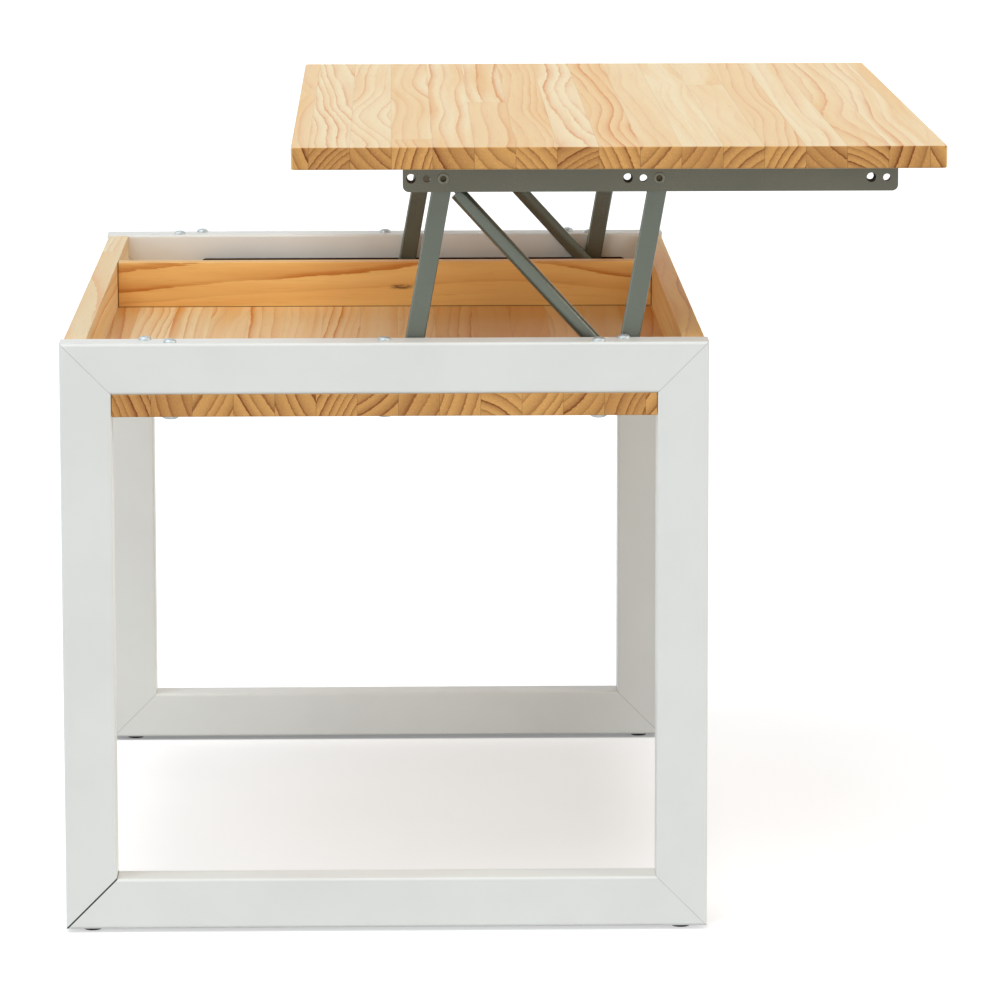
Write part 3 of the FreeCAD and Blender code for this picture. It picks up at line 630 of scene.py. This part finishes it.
def turned(name, rings):
    """A closed shell through rings of an outline and a height in millimetres, head upward."""
    shell = bmesh.new()
    loops = []
    for outline, height in rings:
        loop = []
        for side in range(SIDES):
            angle = 2 * math.pi * side / SIDES
            radius = outline(angle) if callable(outline) else outline
            corner = Vector((radius * math.cos(angle), radius * math.sin(angle), height))
            loop.append(shell.verts.new(corner * MM))
        loops.append(loop)
    for upper, lower in zip(loops, loops[1:]):
        for side in range(SIDES):
            shell.faces.new((upper[side], upper[side - 1], lower[side - 1], lower[side]))
    shell.faces.new(loops[0])
    shell.faces.new(loops[-1])
    bmesh.ops.recalc_face_normals(shell, faces=shell.faces)
    mesh = bpy.data.meshes.new(name)
    shell.to_mesh(mesh)
    shell.free()
    mesh.shade_smooth()
    mesh.set_sharp_from_angle(angle=math.radians(32))
    return bpy.data.objects.new(name, mesh)


def solids_of(name):
    """The boxes round a node's separate solids, in a fixed order."""
    shell = bmesh.new()
    shell.from_mesh(nodes[name].data)
    bmesh.ops.remove_doubles(shell, verts=shell.verts, dist=0.01 * MM)
    waiting = set(shell.verts)
    boxes = []
    while waiting:
        front = [waiting.pop()]
        points = []
        while front:
            vertex = front.pop()
            points.append(vertex.co.copy())
            for edge in vertex.link_edges:
                other = edge.other_vert(vertex)
                if other in waiting:
                    waiting.remove(other)
                    front.append(other)
        low = Vector([min(point[i] for point in points) for i in range(3)])
        high = Vector([max(point[i] for point in points) for i in range(3)])
        boxes.append((low, high))
    shell.free()
    return sorted(boxes, key=lambda box: [round(number, 5) for number in box[0]])


GEOMETRY_KINDS = {
    "geometry": "NodeSocketGeometry", "object": "NodeSocketObject", "material": "NodeSocketMaterial",
    "number": "NodeSocketFloat", "whole": "NodeSocketInt",
}


def geometry_tree(name, inputs, make):
    """A Geometry Nodes tree with named inputs, which ends by setting a material."""
    tree = bpy.data.node_groups.new(name, "GeometryNodeTree")
    for label, kind in inputs.items():
        tree.interface.new_socket(label, in_out="INPUT", socket_type=GEOMETRY_KINDS[kind])
    tree.interface.new_socket("Pieces", in_out="OUTPUT", socket_type="NodeSocketGeometry")
    w = Wiring(tree)
    entry = w.add("NodeGroupInput").outputs
    real = w.add("GeometryNodeRealizeInstances")
    w.feed(real.inputs[0], make(w, entry))
    finish = w.add("GeometryNodeSetMaterial")
    w.feed(finish.inputs["Geometry"], real.outputs[0])
    w.feed(finish.inputs["Material"], entry["Finish"])
    w.feed(w.add("NodeGroupOutput").inputs[0], finish.outputs[0])
    return tree


def set_fasteners(w, entry):
    """One pattern at each point, tipped over or not, each turned by chance about its own axis."""
    pattern = w.add("GeometryNodeObjectInfo")
    w.feed(pattern.inputs["Object"], entry["Pattern"])
    chance = w.add("FunctionNodeRandomValue", data_type="FLOAT")
    ends = {socket.name: socket for socket in chance.inputs if socket.enabled}
    w.feed(ends["Max"], entry["Spin"])
    w.feed(ends["Seed"], entry["Seed"])
    spin = next(socket for socket in chance.outputs if socket.enabled)
    rotation = w.add("FunctionNodeEulerToRotation")
    w.feed(rotation.inputs[0], w.join(entry["Tip"], 0.0, spin))
    spread = w.add("GeometryNodeInstanceOnPoints")
    w.feed(spread.inputs["Points"], entry["Places"])
    w.feed(spread.inputs["Instance"], pattern.outputs["Geometry"])
    w.feed(spread.inputs["Rotation"], rotation.outputs[0])
    return spread.outputs[0]


def wind_spring(w, entry):
    """Round wire wound along Z, with smooth shading and closed ends."""
    path = w.add("GeometryNodeCurveSpiral")
    sources = {
        "Rotations": "Turns", "Start Radius": "Coil Radius", "End Radius": "Coil Radius",
        "Height": "Length", "Resolution": "Steps",
    }
    for label, source in sources.items():
        w.feed(path.inputs[label], entry[source])
    wire = w.add("GeometryNodeCurvePrimitiveCircle", mode="RADIUS")
    wire.inputs["Resolution"].default_value = 8
    w.feed(wire.inputs["Radius"], entry["Wire Radius"])
    tube = w.add("GeometryNodeCurveToMesh")
    w.feed(tube.inputs["Curve"], path.outputs[0])
    w.feed(tube.inputs["Profile Curve"], wire.outputs[0])
    tube.inputs["Fill Caps"].default_value = True
    smooth = w.add("GeometryNodeSetShadeSmooth")
    w.feed(smooth.inputs["Geometry"], tube.outputs[0])
    return smooth.outputs[0]


FASTENER_TREE = geometry_tree("set fasteners", {
    "Places": "geometry", "Pattern": "object", "Tip": "number", "Spin": "number", "Seed": "whole",
    "Finish": "material",
}, set_fasteners)
SPRING_TREE = geometry_tree("wind spring", {
    "Turns": "number", "Coil Radius": "number", "Length": "number", "Steps": "whole",
    "Wire Radius": "number", "Finish": "material",
}, wind_spring)


def grown(name, points, tree, values):
    """A plain mesh object that the tree makes from these points."""
    start = bpy.data.meshes.new(name)
    start.from_pydata(points, [], [])
    piece = bpy.data.objects.new(name, start)
    bpy.context.scene.collection.objects.link(piece)
    modifier = piece.modifiers.new("grow", "NODES")
    modifier.node_group = tree
    for socket in tree.interface.items_tree:
        if socket.in_out == "INPUT" and socket.name in values:
            modifier[socket.identifier] = values[socket.name]
    graph = bpy.context.evaluated_depsgraph_get()
    mesh = bpy.data.meshes.new_from_object(piece.evaluated_get(graph), depsgraph=graph)
    piece.modifiers.clear()
    piece.data = mesh
    mesh.name = name
    return piece


def fasten(node, body, rings, seat, tip):
    """Sets a turned pattern at each of the node's solids, with its seat this far below its head,
    and tips it over where the head points down."""
    pattern = turned(f"{node}_pattern", rings)
    bpy.context.scene.collection.objects.link(pattern)
    points = []
    for low, high in solids_of(node):
        spot = (low + high) / 2
        spot.z = low.z + seat * MM if tip else high.z - seat * MM
        points.append(spot)
    piece = grown(f"detailed_{node}", points, FASTENER_TREE, {
        "Pattern": pattern, "Tip": math.pi if tip else 0.0, "Spin": 2 * math.pi, "Seed": 7,
        "Finish": ZINC,
    })
    bpy.data.objects.remove(pattern)
    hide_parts(node)
    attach(piece, body)


# Button-headed bolts with hexagon sockets, and the sleeve nuts that they screw into.
BOLT_HEAD, BOLT_SHANK, BOLT_LENGTH = 3.9, 3.0, 64.0
bolt = [(hexagon(3.7), 1.6), (hexagon(4.0), 3.35), (2.7, BOLT_HEAD - 0.25)]
bolt += dome(6.3, BOLT_HEAD, 0.5, 2.95)
bolt += [(BOLT_SHANK, 0.0), (BOLT_SHANK, -BOLT_LENGTH + 0.8), (BOLT_SHANK - 0.8, -BOLT_LENGTH)]
fasten("frame_bolts", "base", bolt, BOLT_HEAD, False)
NUT_HEAD, NUT_BARREL, NUT_LENGTH = 3.2, 5.0, 16.0
nut = [(hexagon(4.7), 1.0), (hexagon(5.0), 2.7), (3.3, NUT_HEAD - 0.2)]
nut += dome(8.0, NUT_HEAD, 0.4, 3.6)
NUT_BORE = BOLT_SHANK + 0.1
nut += [(NUT_BARREL, 0.0), (NUT_BARREL, -NUT_LENGTH), (NUT_BORE, -NUT_LENGTH), (NUT_BORE, -0.1)]
fasten("sleeve_nuts", "base", nut, NUT_HEAD, True)


# Pan-headed screws with cross recesses, up into the top and the tray walls and down into the floor.
SCREW_HEAD, SCREW_SHANK = 2.4, 2.2


def cross_screw(length):
    """Rings of a screw with a shank of this length, down to its point."""
    rings = [(cross(0.8, 0.35), 0.5), (cross(2.2, 0.55), 2.1), (2.55, SCREW_HEAD - 0.1)]
    rings += dome(4.3, SCREW_HEAD, 0.5, 2.75)
    return rings + [(SCREW_SHANK, 0.0), (SCREW_SHANK, 4.0 - length), (0.3, -length)]


fasten("top_rail_screws", "top", cross_screw(17.0), SCREW_HEAD, True)
fasten("base_rail_screws", "base", cross_screw(17.0), SCREW_HEAD, False)
fasten("tray_screws", "base", cross_screw(42.0), SCREW_HEAD, True)


SPRING_TURNS = 62
SPRING_WIRE_RADIUS = 0.4 * MM


def strut_spring(end):
    """The wound spring inside a strut, made to the size of its CAD node and carried with the sleeve.
    """
    node = f"{end}_strut_spring"
    points = np.array([vertex.co for vertex in nodes[node].data.vertices])
    centre = points.mean(axis=0)
    along = Vector(np.linalg.svd(points - centre, full_matrices=False)[2][0])
    along *= 1 if along.z > 0 else -1
    reach = (points - centre) @ np.array(along)
    away = points - centre - np.outer(reach, np.array(along))
    outer = float(np.linalg.norm(away, axis=1).max())
    length = float(reach.max() - reach.min())
    foot = Vector(centre) + along * float(reach.min())
    wire = SPRING_WIRE_RADIUS
    piece = grown(f"{end}_wound_spring", [(0, 0, 0)], SPRING_TREE, {
        "Turns": float(SPRING_TURNS), "Coil Radius": outer - wire, "Length": length - 2 * wire,
        "Steps": 20, "Wire Radius": wire, "Finish": SPRING,
    })
    turn = along.to_track_quat("Z", "Y").to_matrix().to_4x4()
    piece.data.transform(Matrix.Translation(foot + along * wire) @ turn)
    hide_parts(node)
    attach(piece, f"{end}_strut_sleeve")
    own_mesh(piece)


for end in ENDS:
    strut_spring(end)


# The plain studio: a pale floor that goes on as the backdrop, and soft lamps all round.
def seen_rays(w):
    """1 for what is looked at, straight or in a mirror, and 0 for what only gives light."""
    rays = w.add("ShaderNodeLightPath").outputs
    seen = w.math("MAXIMUM", rays["Is Camera Ray"], rays["Is Glossy Ray"])
    return w.math("MAXIMUM", seen, rays["Is Transmission Ray"])


def studio_floor():
    """A white floor, with painted light that brightens it clear of the table and a painted shadow
    under the far foot, unseen from below.
    """
    mesh = bpy.data.meshes.new("studio_floor")
    reach = 60.0
    corners = [(-reach, -reach, 0), (reach, -reach, 0), (reach, reach, 0), (-reach, reach, 0)]
    mesh.from_pydata(corners, [], [(0, 1, 2, 3)])
    floor = bpy.data.objects.new("studio_floor", mesh)
    bpy.context.scene.collection.objects.link(floor)
    finish = Finish("studio_floor")
    w = finish.wiring
    seen = seen_rays(w)
    smudge = w.clouds(w.stretched(finish.position, 160.0, 160.0, 160.0), 3.0, 0.55)[0]
    pale = w.blend(smudge.step(0.35, 0.8), (0.648, 0.658, 0.672, 1), (0.628, 0.638, 0.652, 1))
    x, y, _ = w.split(finish.position)
    # Painted light: the floor glows brighter clear of the table, washing out the table's shadow there,
    # so shade stays only under the table.
    frame_middle, frame_half = middle(*each_end(*FRAME_TUBES))
    past_side = (x - frame_middle.x / MM).size() - frame_half.x / MM
    past_end = (y - frame_middle.y / MM).size() - frame_half.y / MM
    painted_light_clear_of_table = w.math("MAXIMUM", past_side, past_end).step(-110.0, 60.0)
    tube_depth = middle("near_frame_foot_rail")[1].y * 2 / MM
    # Painted shadow: the floor's glow is cut to a dark line under the far foot rail.
    past_far_end = y - (frame_middle.y + frame_half.y) / MM
    far_foot_painted_shadow = past_side.step(2.0, -2.0) * past_far_end.step(2.0, -2.0)
    far_foot_painted_shadow = far_foot_painted_shadow * past_far_end.step(-tube_depth - 2.0, 2.0 - tube_depth)
    glow = (0.42 + 0.2 * painted_light_clear_of_table) * (1 - 0.6 * far_foot_painted_shadow) * seen
    sockets = finish.shader.inputs
    w.feed(sockets["Base Color"], w.blend(seen, (0.52, 0.52, 0.52, 1), pale))
    w.feed(sockets["Emission Strength"], glow)
    sockets["Emission Color"].default_value = (1, 1, 1, 1)
    sockets["Roughness"].default_value = 0.9
    sockets["Specular IOR Level"].default_value = 0.0
    from_below = w.add("ShaderNodeMixShader")
    w.feed(from_below.inputs[0], w.add("ShaderNodeNewGeometry").outputs["Backfacing"])
    w.feed(from_below.inputs[1], finish.shader.outputs[0])
    w.feed(from_below.inputs[2], w.add("ShaderNodeBsdfTransparent").outputs[0])
    surface = finish.material.node_tree.nodes["Material Output"].inputs["Surface"]
    w.feed(surface, from_below.outputs[0])
    mesh.materials.append(finish.material)


def studio_world():
    """White where it is looked at, and a dimmer light on the table."""
    world = bpy.data.worlds.new("studio_world")
    bpy.context.scene.world = world
    world.use_nodes = True
    w = Wiring(world.node_tree)
    background = world.node_tree.nodes["Background"]
    background.inputs["Color"].default_value = (1, 1, 1, 1)
    dim = 0.38
    w.feed(background.inputs["Strength"], dim + (1.0 - dim) * seen_rays(w))


def sun(name, azimuth, elevation, strength, spread, colour=(1.0, 1.0, 1.0), mirrored=True):
    """A soft lamp from this bearing, where 0 is in front and 90 is on the sitter's side."""
    lamp = bpy.data.lights.new(name, "SUN")
    lamp.energy = strength
    lamp.color = colour
    lamp.angle = math.radians(spread)
    holder = bpy.data.objects.new(name, lamp)
    a, e = math.radians(azimuth), math.radians(elevation)
    from_lamp = Vector((-math.sin(a) * math.cos(e), math.cos(a) * math.cos(e), -math.sin(e)))
    holder.rotation_euler = from_lamp.to_track_quat("-Z", "Y").to_euler()
    holder.visible_glossy = mirrored
    bpy.context.scene.collection.objects.link(holder)


def photo_camera():
    """The photograph's view, from a fit of its measured edges."""
    lens = bpy.data.cameras.new("photo_camera")
    lens.sensor_width = 36.0
    lens.lens = 204.28
    lens.clip_end = 500.0
    camera = bpy.data.objects.new("photo_camera", lens)
    down, right, roll = (math.radians(angle) for angle in (8.967, 1.093, -0.084))
    turn = Matrix.Rotation(-right, 4, "Z") @ Matrix.Rotation(math.pi / 2 - down, 4, "X")
    place = Matrix.Translation((-0.107, -5.9518, 1.2898))
    camera.matrix_world = place @ turn @ Matrix.Rotation(roll, 4, "Z")
    bpy.context.scene.collection.objects.link(camera)
    bpy.context.scene.camera = camera


studio_floor()
studio_world()
COOL = (0.88, 0.96, 1.0)
WARM = (1.0, 0.94, 0.84)
sun("overhead", -40, 60, 1.34, 50, (0.95, 0.98, 1.0))
sun("front_fill", -5, 28, 0.1, 30)
sun("low_front", 5, 2.5, 0.36, 8, mirrored=False)
sun("left_window", -50, 11, 0.55, 25, COOL)
sun("right_window", 80, 9, 0.7, 12, WARM)
sun("sitter_side", 75, 30, 0.4, 12, WARM)
sun("far_window", 170, 8, 0.75, 20, mirrored=False)
photo_camera()
bpy.context.scene.view_settings.view_transform = "Standard"
